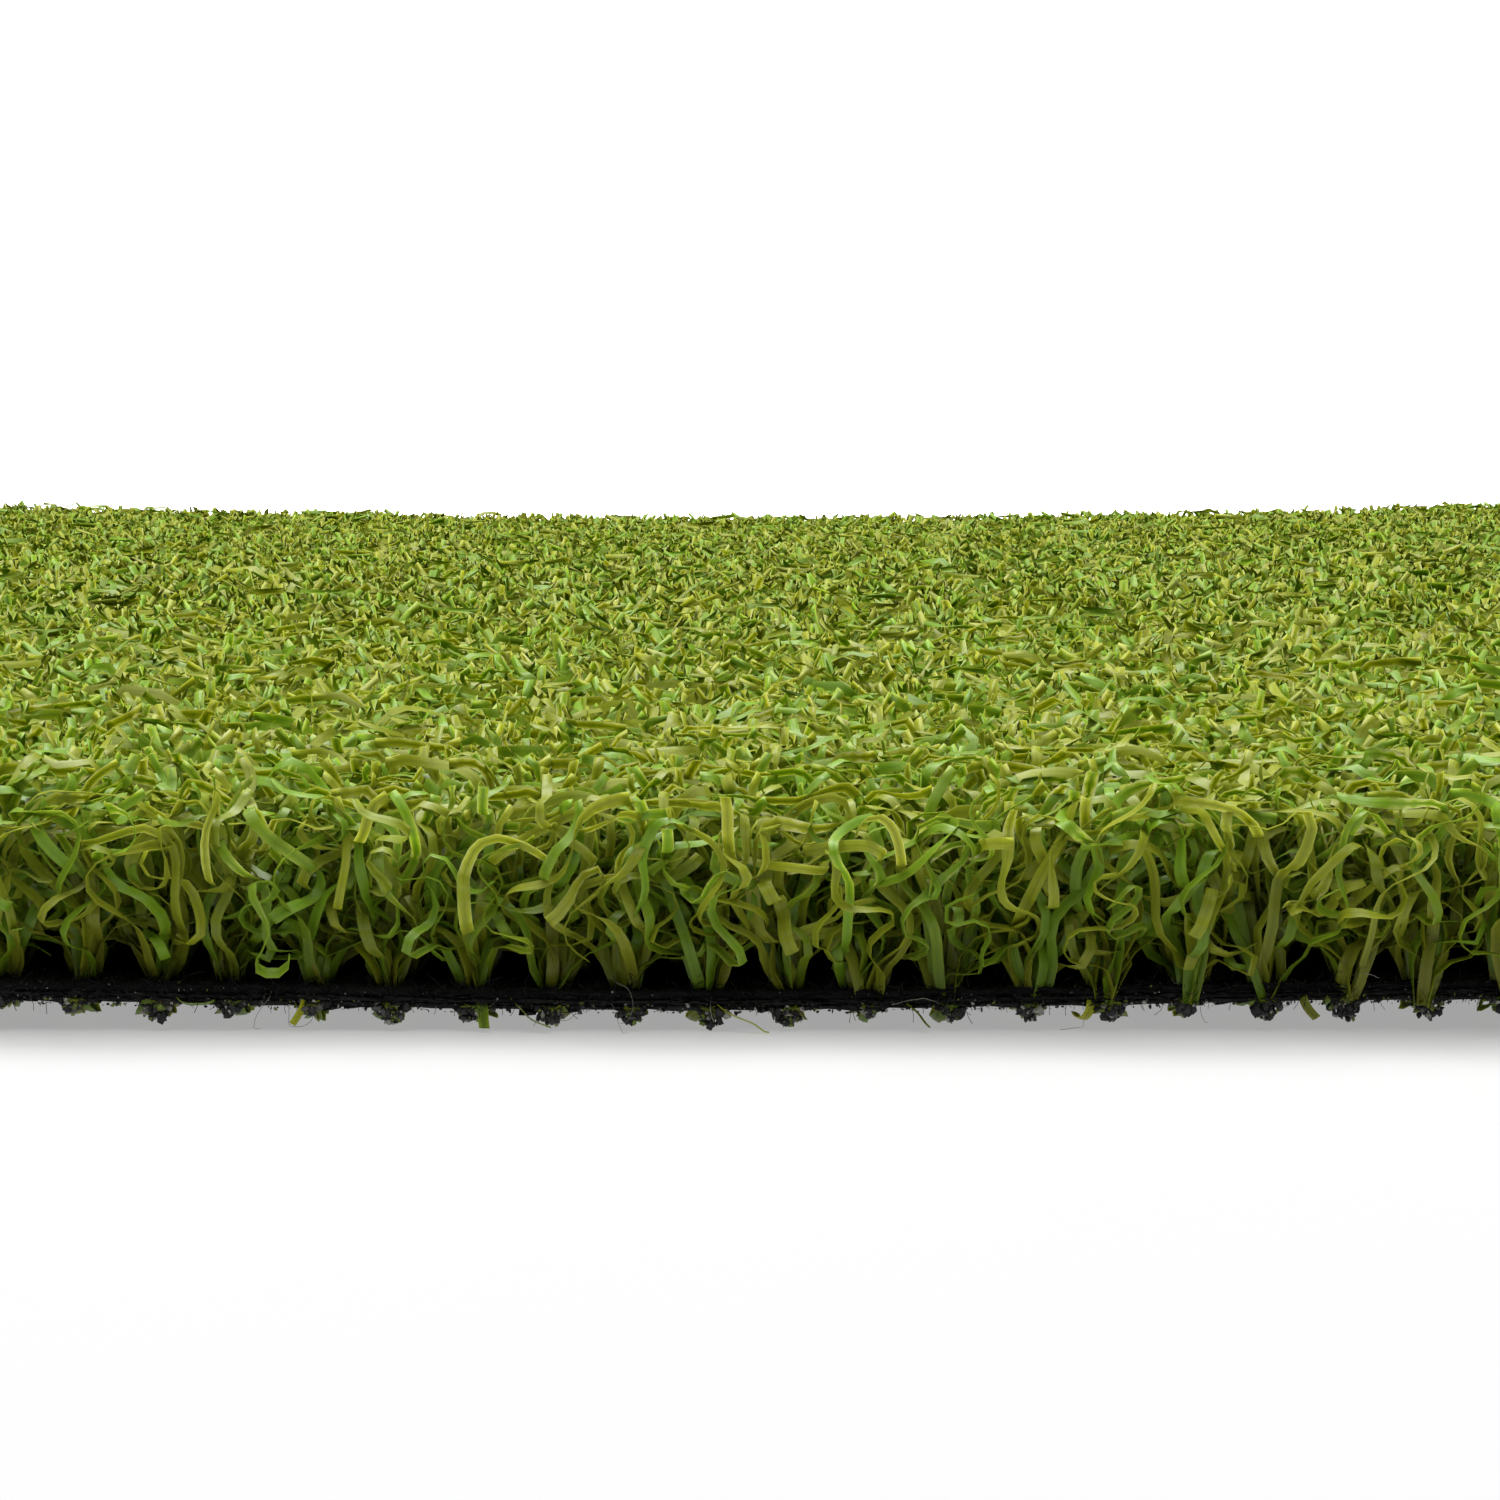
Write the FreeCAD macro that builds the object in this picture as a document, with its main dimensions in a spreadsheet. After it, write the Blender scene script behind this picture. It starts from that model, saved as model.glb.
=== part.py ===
"""Golf hitting mat: a cut piece of tufted artificial turf, lying flat.

The mat is a sandwich. A woven primary backing carries a needled fleece on its
upper face and a latex coat on its lower face. Each row of turf is one yarn that
the tufting needle carries along the mat: its cut pile stands above the fleece,
its stitches pass down through all three layers, and its back-stitch runs as a
ridge under the latex. The mat rests on those ridges.

Frame: +Z up, rows along Y, rows spaced along X, origin at the bottom centre.
Millimetres.
"""

import FreeCAD, Part
import os
import Sketcher

MAT = {
    # outline of the cut piece
    "mat_width": 304.8,
    "mat_length": 609.6,
    # turf rows: 3/16 inch between needles
    "gauge": 4.7625,
    "row_total": 64,
    "rows_per_node": 2,
    "row_length": 608.0,
    # section of one row of pile: narrow where it leaves the fleece, full above
    "pile_height": 12.7,
    "pile_root_width": 1.2,
    "pile_full_width": 4.4,
    "flare_height": 6.0,
    # stitches through the layers, drawn as a few long ones in each row
    "stitch_count": 6,
    "stitch_pitch": 101.6,
    "stitch_length": 97.0,
    # back-stitch ridge under the latex
    "ridge_height": 1.3,
    "ridge_top_width": 2.1,
    "ridge_foot_width": 1.3,
    # the three layers, from below
    "latex_thickness": 0.25,
    "woven_thickness": 0.35,
    "fleece_thickness": 0.5,
}
LAYER_STACK = "(Dimensions.latex_thickness + Dimensions.woven_thickness + Dimensions.fleece_thickness)"

doc = FreeCAD.newDocument("golf_hitting_mat")
sub_parts = []


def make_sheet():
    """Put every driving dimension in the spreadsheet, one aliased cell each."""
    sheet = doc.addObject("Spreadsheet::Sheet", "Dimensions")
    for row, (name, value) in enumerate(MAT.items(), start=1):
        sheet.set(f"A{row}", name)
        sheet.set(f"B{row}", str(value))
        sheet.setAlias(f"B{row}", name)
    doc.recompute()
    return sheet


def make_body(name, height):
    """Start a sub-part whose own XY plane lies at the given height expression."""
    body = doc.addObject("PartDesign::Body", name)
    body.Label = name
    body.AllowCompound = True
    body.setExpression("Placement.Base.z", height)
    sub_parts.append(body)
    return body


def origin_feature(body, role):
    return next(item for item in body.Origin.OriginFeatures if item.Role == role)


def make_sketch(body, name, role):
    sketch = body.newObject("Sketcher::SketchObject", f"{body.Name}_{name}")
    sketch.AttachmentSupport = (origin_feature(body, role), [""])
    sketch.MapMode = "FlatFace"
    return sketch


def draw_polygon(sketch, corners):
    """Draw a closed outline through the corners, as joined straight edges."""
    points = [FreeCAD.Vector(x, y, 0) for x, y in corners]
    edges = len(points)
    for index in range(edges):
        sketch.addGeometry(Part.LineSegment(points[index], points[(index + 1) % edges]))
    for index in range(edges):
        sketch.addConstraint(Sketcher.Constraint("Coincident", index, 2, (index + 1) % edges, 1))


def bind(sketch, constraint, expression):
    """Add a size to the sketch and drive it from the spreadsheet."""
    number = sketch.addConstraint(constraint)
    sketch.setExpression(f"Constraints[{number}]", expression)


def centred_rectangle(sketch, width, depth):
    """A rectangle about the sketch's origin; width and depth are sheet aliases."""
    half_x = MAT[width] / 2
    half_y = MAT[depth] / 2
    draw_polygon(sketch, [(-half_x, -half_y), (half_x, -half_y), (half_x, half_y), (-half_x, half_y)])
    for edge in (0, 2):
        sketch.addConstraint(Sketcher.Constraint("Horizontal", edge))
    for edge in (1, 3):
        sketch.addConstraint(Sketcher.Constraint("Vertical", edge))
    sketch.addConstraint(Sketcher.Constraint("Symmetric", 0, 1, 2, 1, -1, 1))
    bind(sketch, Sketcher.Constraint("DistanceX", 0, 1, 0, 2, 2 * half_x), f"Dimensions.{width}")
    bind(sketch, Sketcher.Constraint("DistanceY", 1, 1, 1, 2, 2 * half_y), f"Dimensions.{depth}")


def pad(body, name, sketch, length, **settings):
    feature = body.newObject("PartDesign::Pad", f"{body.Name}_{name}")
    feature.Profile = sketch
    feature.setExpression("Length", length)
    for key, value in settings.items():
        setattr(feature, key, value)
    return feature


def linear_pattern(body, name, role, step, count):
    """A row of equal steps along one of the body's own axes."""
    pattern = doc.addObject("PartDesign::LinearPattern", f"{body.Name}_{name}")
    pattern.Direction = (origin_feature(body, role), [""])
    pattern.setExpression("Length", f"Dimensions.{step} * (Dimensions.{count} - 1)")
    pattern.setExpression("Occurrences", f"Dimensions.{count}")
    return pattern


def repeat(body, name, features, patterns):
    """Repeat features by one pattern after another, and make that the body's tip."""
    repeated = body.newObject("PartDesign::MultiTransform", f"{body.Name}_{name}")
    repeated.Originals = features
    repeated.Transformations = patterns
    body.Tip = repeated


def move_to_first(sketch, axis, step, count):
    """Shift a sketch to the first place of a centred row of steps."""
    sketch.setExpression(
        f"AttachmentOffset.Base.{axis}", f"-Dimensions.{step} * (Dimensions.{count} - 1) / 2"
    )


def make_layer(name, thickness, height):
    """One backing layer: a thin plate with a slit at each stitch of each row."""
    body = make_body(name, height)
    outline = make_sketch(body, "outline", "XY_Plane")
    centred_rectangle(outline, "mat_width", "mat_length")
    pad(body, "plate", outline, f"Dimensions.{thickness}")

    slit = make_sketch(body, "slit", "XY_Plane")
    centred_rectangle(slit, "pile_root_width", "stitch_length")
    move_to_first(slit, "x", "gauge", "row_total")
    move_to_first(slit, "y", "stitch_pitch", "stitch_count")
    cut = body.newObject("PartDesign::Pocket", f"{name}_slit_cut")
    cut.Profile = slit
    cut.Type = "ThroughAll"
    cut.Midplane = True
    across = linear_pattern(body, "across", "X_Axis", "gauge", "row_total")
    along = linear_pattern(body, "along", "Y_Axis", "stitch_pitch", "stitch_count")
    repeat(body, "slits", [cut], [across, along])


def draw_pile_section(sketch):
    """Section of a row of pile: straight sides that flare from the root."""
    root = MAT["pile_root_width"] / 2
    full = MAT["pile_full_width"] / 2
    flare = MAT["flare_height"]
    top = MAT["pile_height"]
    draw_polygon(sketch, [(-root, 0), (root, 0), (full, flare), (full, top), (-full, top), (-full, flare)])
    sketch.addConstraint(Sketcher.Constraint("Symmetric", 0, 1, 0, 2, -1, 1))
    sketch.addConstraint(Sketcher.Constraint("Symmetric", 1, 2, 4, 2, -2))
    sketch.addConstraint(Sketcher.Constraint("Symmetric", 2, 2, 3, 2, -2))
    sketch.addConstraint(Sketcher.Constraint("Vertical", 2))
    bind(sketch, Sketcher.Constraint("DistanceX", 0, 1, 0, 2, 2 * root), "Dimensions.pile_root_width")
    bind(sketch, Sketcher.Constraint("DistanceX", 3, 2, 3, 1, 2 * full), "Dimensions.pile_full_width")
    bind(sketch, Sketcher.Constraint("DistanceY", 1, 1, 1, 2, flare), "Dimensions.flare_height")
    bind(sketch, Sketcher.Constraint("DistanceY", 0, 2, 2, 2, top), "Dimensions.pile_height")


def draw_ridge_section(sketch):
    """Section of a back-stitch ridge: wide against the latex, narrower foot."""
    upper = MAT["ridge_top_width"] / 2
    foot = MAT["ridge_foot_width"] / 2
    depth = MAT["ridge_height"]
    draw_polygon(sketch, [(-foot, -depth), (foot, -depth), (upper, 0), (-upper, 0)])
    sketch.addConstraint(Sketcher.Constraint("Symmetric", 2, 1, 2, 2, -1, 1))
    sketch.addConstraint(Sketcher.Constraint("Symmetric", 0, 1, 0, 2, -2))
    bind(sketch, Sketcher.Constraint("DistanceX", 2, 2, 2, 1, 2 * upper), "Dimensions.ridge_top_width")
    bind(sketch, Sketcher.Constraint("DistanceX", 0, 1, 0, 2, 2 * foot), "Dimensions.ridge_foot_width")
    bind(sketch, Sketcher.Constraint("DistanceY", 0, 2, 1, 2, depth), "Dimensions.ridge_height")


def make_turf_rows(first_row):
    """Neighbouring rows of turf, each one solid: pile, stitches and back-stitch."""
    last_row = first_row + MAT["rows_per_node"] - 1
    body = make_body(f"turf_rows_{first_row:02d}_{last_row:02d}", f"Dimensions.ridge_height + {LAYER_STACK}")
    rows_before = first_row - 1
    body.setExpression("Placement.Base.x", f"Dimensions.gauge * ({rows_before} - (Dimensions.row_total - 1) / 2)")
    next_row = linear_pattern(body, "next_row", "X_Axis", "gauge", "rows_per_node")

    pile_section = make_sketch(body, "pile_section", "XZ_Plane")
    draw_pile_section(pile_section)
    pile = pad(body, "pile", pile_section, "Dimensions.row_length", Midplane=True)

    ridge_section = make_sketch(body, "ridge_section", "XZ_Plane")
    ridge_section.setExpression("AttachmentOffset.Base.y", f"-{LAYER_STACK}")
    draw_ridge_section(ridge_section)
    ridge = pad(body, "ridge", ridge_section, "Dimensions.row_length", Midplane=True)
    repeat(body, "row_pair", [pile, ridge], [next_row])

    stitch_outline = make_sketch(body, "stitch_outline", "XY_Plane")
    centred_rectangle(stitch_outline, "pile_root_width", "stitch_length")
    move_to_first(stitch_outline, "y", "stitch_pitch", "stitch_count")
    stitch = pad(body, "stitch", stitch_outline, LAYER_STACK, Reversed=True)
    beside = linear_pattern(body, "beside", "X_Axis", "gauge", "rows_per_node")
    along = linear_pattern(body, "along", "Y_Axis", "stitch_pitch", "stitch_count")
    repeat(body, "stitches", [stitch], [beside, along])


def check(item, solids, volume):
    """Stop if a sub-part failed, or isn't the solids and the volume that it should be."""
    shape = item.Shape
    if shape.isNull() or not shape.isValid():
        raise RuntimeError(f"{item.Label}: no valid shape")
    if len(shape.Solids) != solids:
        raise RuntimeError(f"{item.Label}: {len(shape.Solids)} solids, not {solids}")
    if abs(shape.Volume - volume) > 1e-6 * volume:
        raise RuntimeError(f"{item.Label}: volume {shape.Volume:.3f}, not {volume:.3f}")


def expected_layer_volume(thickness):
    slit_area = MAT["pile_root_width"] * MAT["stitch_length"]
    slits = MAT["row_total"] * MAT["stitch_count"]
    return (MAT["mat_width"] * MAT["mat_length"] - slits * slit_area) * MAT[thickness]


def expected_rows_volume():
    flare = (MAT["pile_root_width"] + MAT["pile_full_width"]) / 2 * MAT["flare_height"]
    upper = MAT["pile_full_width"] * (MAT["pile_height"] - MAT["flare_height"])
    ridge = (MAT["ridge_top_width"] + MAT["ridge_foot_width"]) / 2 * MAT["ridge_height"]
    layers = MAT["latex_thickness"] + MAT["woven_thickness"] + MAT["fleece_thickness"]
    stitches = MAT["stitch_count"] * MAT["pile_root_width"] * MAT["stitch_length"] * layers
    return MAT["rows_per_node"] * ((flare + upper + ridge) * MAT["row_length"] + stitches)


make_sheet()
layers = {
    "latex_coat": ("latex_thickness", "Dimensions.ridge_height"),
    "primary_backing": ("woven_thickness", "Dimensions.ridge_height + Dimensions.latex_thickness"),
    "fleece_layer": (
        "fleece_thickness",
        "Dimensions.ridge_height + Dimensions.latex_thickness + Dimensions.woven_thickness",
    ),
}
for layer_name, (thickness_name, layer_height) in layers.items():
    make_layer(layer_name, thickness_name, layer_height)
for row_number in range(1, MAT["row_total"] + 1, MAT["rows_per_node"]):
    make_turf_rows(row_number)
doc.recompute()

for item in doc.Objects:
    if "Invalid" in item.State or "Error" in item.State:
        raise RuntimeError(f"{item.Label}: {item.State}")
for sub_part in sub_parts:
    if sub_part.Label in layers:
        check(sub_part, 1, expected_layer_volume(layers[sub_part.Label][0]))
    else:
        check(sub_part, MAT["rows_per_node"], expected_rows_volume())

os.makedirs("parts", exist_ok=True)
for sub_part in sub_parts:
    sub_part.Shape.exportStep(f"parts/{sub_part.Label}.step")
print(f"{len(sub_parts)} sub-parts written")
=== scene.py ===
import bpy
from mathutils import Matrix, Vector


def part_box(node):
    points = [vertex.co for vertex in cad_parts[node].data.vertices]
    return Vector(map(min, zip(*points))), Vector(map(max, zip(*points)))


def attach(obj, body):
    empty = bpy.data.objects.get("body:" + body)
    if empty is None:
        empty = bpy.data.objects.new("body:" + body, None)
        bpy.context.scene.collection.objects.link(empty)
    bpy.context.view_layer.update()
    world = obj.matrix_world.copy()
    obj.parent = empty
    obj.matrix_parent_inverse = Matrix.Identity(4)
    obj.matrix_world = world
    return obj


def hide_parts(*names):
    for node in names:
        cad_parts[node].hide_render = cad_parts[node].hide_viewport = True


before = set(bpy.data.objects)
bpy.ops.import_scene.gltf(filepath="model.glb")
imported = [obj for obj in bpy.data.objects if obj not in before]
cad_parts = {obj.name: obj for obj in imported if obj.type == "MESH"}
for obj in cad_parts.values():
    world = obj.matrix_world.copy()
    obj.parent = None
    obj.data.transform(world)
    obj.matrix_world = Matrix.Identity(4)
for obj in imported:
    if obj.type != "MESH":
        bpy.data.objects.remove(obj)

"""Golf hitting mat: a cut piece of curled two-green turf on a thin black backing.

The pile is built ribbon by ribbon. A small library of curled tapes is grown first, each one bending only
about its flat side, as a real ribbon does. Every tuft then takes its ribbons from the library, turned,
mirrored and shifted, so the pile repeats nowhere. Tufts near the front edge, where the camera is, are the
most detailed. Lengths below are in millimetres and angles in radians, and Mesh.build turns millimetres into
metres. A pair of numbers is a lowest and a highest value, unless the comment above it says otherwise.
"""

import bpy
import math
import numpy as np
from collections import namedtuple

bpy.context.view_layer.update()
METRE = 0.001
random = np.random.default_rng(1604)


def box_mm(node):
    """A node's lowest and highest corners, in millimetres."""
    low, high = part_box(node)
    return np.array(low) / METRE, np.array(high) / METRE


# --- sizes, from the frame ---------------------------------------------------------------------------------
ROW_NODES = sorted(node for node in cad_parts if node.startswith("turf_rows_"))
ROWS_PER_NODE = 2
ROW_COUNT = ROWS_PER_NODE * len(ROW_NODES)
MAT_LOW, MAT_HIGH = box_mm("primary_backing")
MAT_WIDTH, MAT_LENGTH = (MAT_HIGH - MAT_LOW)[:2]
FRONT = MAT_LOW[1]
GAUGE = MAT_WIDTH / ROW_COUNT
STITCHES = 152
PITCH = MAT_LENGTH / STITCHES
LATEX_LOW = box_mm("latex_coat")[0][2]
WOVEN_LOW = MAT_LOW[2]
FLEECE_LOW = box_mm("fleece_layer")[0][2]
PILE_FOOT = box_mm("fleece_layer")[1][2]
PILE_TOP = box_mm(ROW_NODES[0])[1][2]
PILE = PILE_TOP - PILE_FOOT

# --- the ribbon, as extruded: a thin flat tape, in two greens ----------------------------------------------
RIBBON_WIDTH = 0.67
RIBBON_THICK = 0.10
RIBBON_LENGTH = 26.0
COLOURS = 16
GREENS = 8
OLIVES = 7
# the last colour class, and its bright yellow green colour below, are painted light: cut ends that hang in
# view glow as if light shone through them
LIT_CLASS = COLOURS - 1
GREEN = (0.190, 0.322, 0.016)
OLIVE = (0.274, 0.320, 0.021)
LIT_YELLOW = (0.62, 0.68, 0.02)
SHADE = (0.88, 1.10)
TINT_SPREAD = (0.06, 0.02, 0.15)

# --- how the mat lies --------------------------------------------------------------------------------------
FRONT_WAVE = 0.7
WAVE_LOW = -4.0
WAVE_LENGTH = 110.0
CORNER_CURL = 2.8

# --- camera: low in front of the cut edge ------------------------------------------------------------------
CAMERA_DISTANCE = 262.0
CAMERA_ABOVE_PILE = 22.5
CAMERA_PITCH = math.radians(4.52)
CAMERA_LENS = 106.0
SENSOR = 36.0
VIEW_SLOPE = SENSOR / 2 / CAMERA_LENS
VIEW_HALF = VIEW_SLOPE * CAMERA_DISTANCE

# --- light and floor: metres and watts ---------------------------------------------------------------------
DOME_STRENGTH = 3.25
DOME_STOPS = ((0.0, 0.0), (0.55, 0.02), (1.0, 1.0))
LAMP_PLACE = (-0.2, 0.3, 1.3)
LAMP_AIM = (0.0, -0.2, 0.0)
LAMP_SIZE = 0.8
LAMP_POWER = 11.0
FLOOR_GREY = 0.36
FLOOR_GLOW = 0.36
FLOOR_RADIUS = 0.75
FLOOR_SIDES = 96


# === materials =============================================================================================
def new_material(name):
    material = bpy.data.materials.new(name)
    material.use_nodes = True
    tree = material.node_tree
    return material, tree, tree.nodes["Principled BSDF"]


def math_node(tree, operation, first, second=0.0):
    node = tree.nodes.new("ShaderNodeMath")
    node.operation = operation
    for slot, value in enumerate((first, second)):
        if isinstance(value, float):
            node.inputs[slot].default_value = value
        else:
            tree.links.new(value, node.inputs[slot])
    return node.outputs[0]


def mix_colour(tree, blend, factor, first, second):
    node = tree.nodes.new("ShaderNodeMix")
    node.data_type = "RGBA"
    node.blend_type = blend
    # a Mix node has a set of sockets for each type of data: these three are its factor and its two colours
    for socket, value in ((node.inputs[0], factor), (node.inputs[6], first), (node.inputs[7], second)):
        if isinstance(value, (float, tuple)):
            socket.default_value = value
        else:
            tree.links.new(value, socket)
    return node.outputs[2]


def multiplied(tree, colour, other):
    return mix_colour(tree, "MULTIPLY", 1.0, colour, other)


def noise(tree, vector, scale, detail=2.0, roughness=0.5):
    node = tree.nodes.new("ShaderNodeTexNoise")
    node.inputs["Scale"].default_value = scale
    node.inputs["Detail"].default_value = detail
    node.inputs["Roughness"].default_value = roughness
    tree.links.new(vector, node.inputs["Vector"])
    return node.outputs["Fac"]


def ramp(tree, factor, stops, interpolation="LINEAR"):
    """Stops are (position, colour), or (position, brightness) for a grey."""
    node = tree.nodes.new("ShaderNodeValToRGB")
    node.color_ramp.interpolation = interpolation
    elements = node.color_ramp.elements
    while len(elements) < len(stops):
        elements.new(0.5)
    for element, (position, colour) in zip(elements, stops):
        rgb = (colour,) * 3 if isinstance(colour, float) else colour
        element.position = position
        element.color = (*rgb, 1.0)
    tree.links.new(factor, node.inputs[0])
    return node.outputs[0]


def ribbon_colours():
    """The yarn's colours: greens first, then olives, each a little different, and last a bright yellow green
    that is painted light, for hanging cut ends as if lit through from below.
    """
    shades = np.random.default_rng(77)
    colours = []
    for base in [GREEN] * GREENS + [OLIVE] * OLIVES:
        value = shades.uniform(*SHADE)
        tint = shades.normal(0, TINT_SPREAD)
        colours.append(tuple(float(c) for c in np.array(base) * value * (1 + tint)))
    return colours + [LIT_YELLOW]


def bake_map(tree):
    """U and V of the pieces' own UV map, which holds their colour classes."""
    uv = tree.nodes.new("ShaderNodeUVMap")
    uv.uv_map = "OFBake"
    split = tree.nodes.new("ShaderNodeSeparateXYZ")
    tree.links.new(uv.outputs[0], split.inputs[0])
    return split.outputs[0], split.outputs[1]


def ribbon_material():
    """Semi-gloss, slightly translucent tape. The UV map's rows hold the colours, and U runs along it."""
    material, tree, shader = new_material("turf_ribbon")
    along, row = bake_map(tree)
    stops = [(number / COLOURS, colour) for number, colour in enumerate(ribbon_colours())]
    colour = ramp(tree, row, stops, "CONSTANT")

    # painted light and shade across the tape: darker along its middle crease, lighter towards both edges as
    # if light shone through them
    across = math_node(tree, "FRACT", math_node(tree, "MULTIPLY", row, float(COLOURS)))
    from_middle = math_node(tree, "ABSOLUTE", math_node(tree, "SUBTRACT", across, 0.5))
    rib_shade_edge_glow = ramp(tree, from_middle, [(0.0, 0.86), (0.10, 1.0), (0.4, 1.06)])
    colour = multiplied(tree, colour, rib_shade_edge_glow)

    stretch = tree.nodes.new("ShaderNodeCombineXYZ")
    tree.links.new(math_node(tree, "MULTIPLY", along, 5.0), stretch.inputs[0])
    tree.links.new(math_node(tree, "MULTIPLY", row, COLOURS * 6.0), stretch.inputs[1])
    streaks = noise(tree, stretch.outputs[0], 1.0, 3.0, 0.6)
    streaks = ramp(tree, streaks, [(0.3, 0.84), (0.5, 1.0), (0.72, (1.12, 1.11, 1.08))])
    colour = multiplied(tree, colour, streaks)

    # painted shade with some dust: the tape darkens and browns towards its foot, deep in the pile where shade
    # falls
    foot_shade_and_dust = ramp(tree, along, [(0.0, (0.52, 0.50, 0.42)), (0.22, (0.85, 0.85, 0.80)), (0.45, 1.0)])
    colour = multiplied(tree, colour, foot_shade_and_dust)
    tree.links.new(colour, shader.inputs["Base Color"])
    shader.inputs["Roughness"].default_value = 0.40
    shader.inputs["IOR"].default_value = 1.49
    shader.inputs["Specular IOR Level"].default_value = 0.27
    shader.inputs["Subsurface Weight"].default_value = 0.35
    shader.inputs["Subsurface Radius"].default_value = (1.0, 1.0, 0.35)
    shader.inputs["Subsurface Scale"].default_value = 0.0004
    return material


def dark_material(name, low, high, scale, roughness, bump):
    """Black backing stuff: two dark tones mottled together, with a fine bump."""
    material, tree, shader = new_material(name)
    place = tree.nodes.new("ShaderNodeTexCoord").outputs["Object"]
    mottle = noise(tree, place, scale, 4.0, 0.65)
    tree.links.new(ramp(tree, mottle, [(0.35, low), (0.7, high)]), shader.inputs["Base Color"])
    shader.inputs["Roughness"].default_value = roughness
    shader.inputs["Specular IOR Level"].default_value = 0.2
    if bump:
        relief = tree.nodes.new("ShaderNodeBump")
        relief.inputs["Strength"].default_value = bump
        relief.inputs["Distance"].default_value = 0.0001
        tree.links.new(noise(tree, place, scale * 2.5, 3.0, 0.6), relief.inputs["Height"])
        tree.links.new(relief.outputs[0], shader.inputs["Normal"])
    return material


def ripple(x, y):
    """How far the mat lies off the floor: two shallow waves at the front, and far corners that curl up."""
    back = (y - FRONT) / MAT_LENGTH
    side = x / (MAT_WIDTH / 2)
    wave = FRONT_WAVE * np.sin(np.pi * (x - WAVE_LOW) / WAVE_LENGTH) ** 2
    return wave * (1 - np.clip(back, 0, 1)) ** 2 + CORNER_CURL * np.clip(back, 0, 1) * side**2


# === mesh building =========================================================================================
class Mesh:
    """Gathers solids as arrays, then becomes one Blender mesh."""

    def __init__(self):
        self.points, self.quads, self.triangles, self.maps, self.lines = [], [], [], [], []
        self.count = 0

    def add(self, points, quads=None, triangles=None, uv=None, lines=None):
        """lines gives each point the number of the crease it lies on, or -1; points are (n, 3)."""
        if quads is not None and len(quads):
            self.quads.append(quads + self.count)
        if triangles is not None and len(triangles):
            self.triangles.append(triangles + self.count)
        self.points.append(points)
        self.maps.append(np.full((len(points), 2), 0.5) if uv is None else uv)
        empty = np.full(len(points), -1, np.int64)
        self.lines.append(empty if lines is None else np.where(lines < 0, -1, lines + 2 * self.count))
        self.count += len(points)

    def build(self, name, material):
        points = np.concatenate(self.points)
        points[:, 2] = np.maximum(points[:, 2], 0.0) + ripple(points[:, 0], points[:, 1])
        points = points.astype(np.float32) * METRE
        quads = np.concatenate(self.quads) if self.quads else np.zeros((0, 4), np.int64)
        triangles = np.concatenate(self.triangles) if self.triangles else np.zeros((0, 3), np.int64)
        corners = np.concatenate([quads.ravel(), triangles.ravel()]).astype(np.int32)
        starts = np.concatenate([np.arange(len(quads)) * 4, len(quads) * 4 + np.arange(len(triangles)) * 3])
        mesh = bpy.data.meshes.new(name)
        mesh.vertices.add(len(points))
        mesh.vertices.foreach_set("co", points.ravel())
        mesh.loops.add(len(corners))
        mesh.loops.foreach_set("vertex_index", corners)
        mesh.polygons.add(len(starts))
        mesh.polygons.foreach_set("loop_start", starts.astype(np.int32))
        mesh.update(calc_edges=True)
        layer = mesh.uv_layers.new(name="OFBake")
        uv = np.concatenate(self.maps).astype(np.float32)
        layer.data.foreach_set("uv", uv[corners].ravel())
        self.crease(mesh)
        mesh.materials.append(material)
        piece = bpy.data.objects.new(name, mesh)
        bpy.context.scene.collection.objects.link(piece)
        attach(piece, "root")
        return piece

    def crease(self, mesh):
        """Edges that run along one crease are sharp, and all other edges are smooth."""
        lines = np.concatenate(self.lines)
        ends = np.empty(2 * len(mesh.edges), np.int32)
        mesh.edges.foreach_get("vertices", ends)
        first, second = lines[ends[0::2]], lines[ends[1::2]]
        sharp = (first >= 0) & (first == second)
        if sharp.any():
            mesh.attributes.new("sharp_edge", "BOOLEAN", "EDGE").data.foreach_set("value", sharp)


SECTIONS = {
    # for each corner of the tape's section: across in half widths, out in thicknesses, and its place in V
    "lens": np.array([(-1.0, 0.0, 0.12), (0.0, -0.5, 0.5), (1.0, 0.0, 0.88), (0.0, 0.5, 0.5)]),
    "roof": np.array([(-1.0, 0.0, 0.12), (1.0, 0.0, 0.88), (0.0, 0.8, 0.5)]),
}
SHARP_CORNERS = {"lens": (0, 2), "roof": (0, 1)}


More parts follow.
